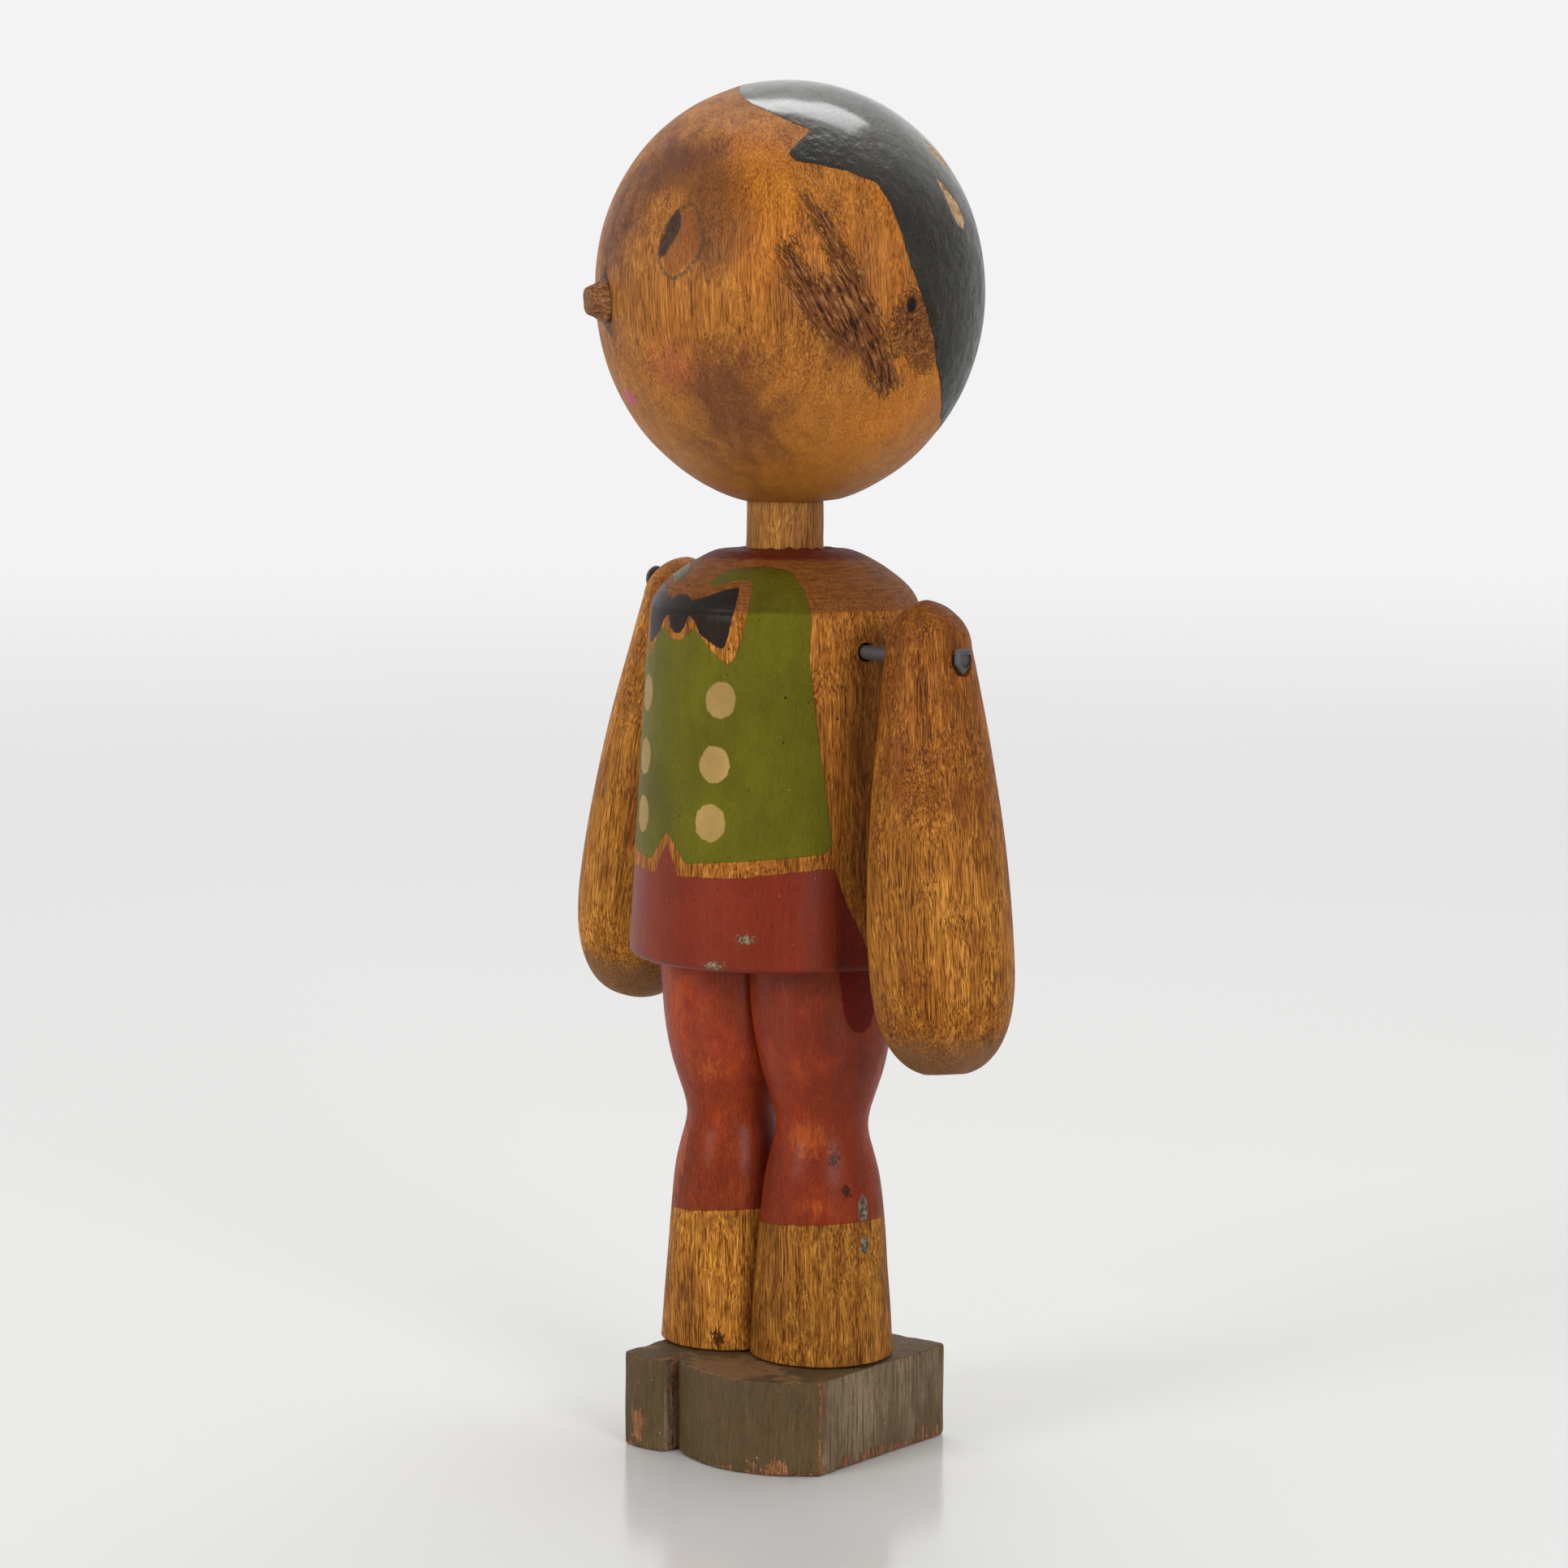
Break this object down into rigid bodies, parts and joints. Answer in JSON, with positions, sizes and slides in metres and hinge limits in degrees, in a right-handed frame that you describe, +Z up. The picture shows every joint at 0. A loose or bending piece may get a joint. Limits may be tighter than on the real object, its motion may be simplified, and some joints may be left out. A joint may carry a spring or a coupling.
{
  "type": "jointed wooden doll",
  "caption": "Standing jointed doll of turned and painted wood, with a head that turns on its neck and arms that swing on nails.",
  "frame": {"origin": "on the underside of the foot block, under the trunk's upright axis", "axes": "+Z up along the trunk's axis, -Y the way the feet point, +X the doll's own left side"},
  "size_m": [0.1098, 0.0678, 0.2392],
  "materials": {
    "foot_paint": "worn olive-grey paint on wood",
    "leg_paint": "worn red-brown paint on turned wood",
    "trunk_paint": "worn green and red paint on turned wood",
    "head_paint": "varnished turned wood with painted hair",
    "arm_wood": "varnished turned wood",
    "dowel_wood": "darkened bare wood",
    "nail_iron": "dark oxidised iron"
  },
  "bodies": {
    "body": {"base_block": "foot_paint", "left_leg": "leg_paint", "right_leg": "leg_paint", "left_foot_nail": "nail_iron", "right_foot_nail": "nail_iron", "left_leg_dowel": "dowel_wood", "right_leg_dowel": "dowel_wood", "trunk": "trunk_paint", "left_arm_nail": "nail_iron", "right_arm_nail": "nail_iron"},
    "head": {"head": "head_paint", "neck_dowel": "dowel_wood", "nose_peg": "dowel_wood"},
    "left_arm": {"left_arm": "arm_wood"},
    "right_arm": {"right_arm": "arm_wood"}
  },
  "joints": [
    {"name": "head_turn", "type": "hinge", "parent": "body", "child": "head", "pos_m": [0, 0, 0.15], "axis": [0, 0, 1], "continuous": true},
    {"name": "left_arm_swing", "type": "hinge", "parent": "body", "child": "left_arm", "pos_m": [0.03824, -0.01058, 0.1416], "axis": [-0.9781, 0.2079, 0], "range_deg": [-150, 150]},
    {"name": "right_arm_swing", "type": "hinge", "parent": "body", "child": "right_arm", "pos_m": [-0.03255, 0.01326, 0.151], "axis": [-0.9781, 0.2079, 0], "range_deg": [-135, 135]}
  ]
}
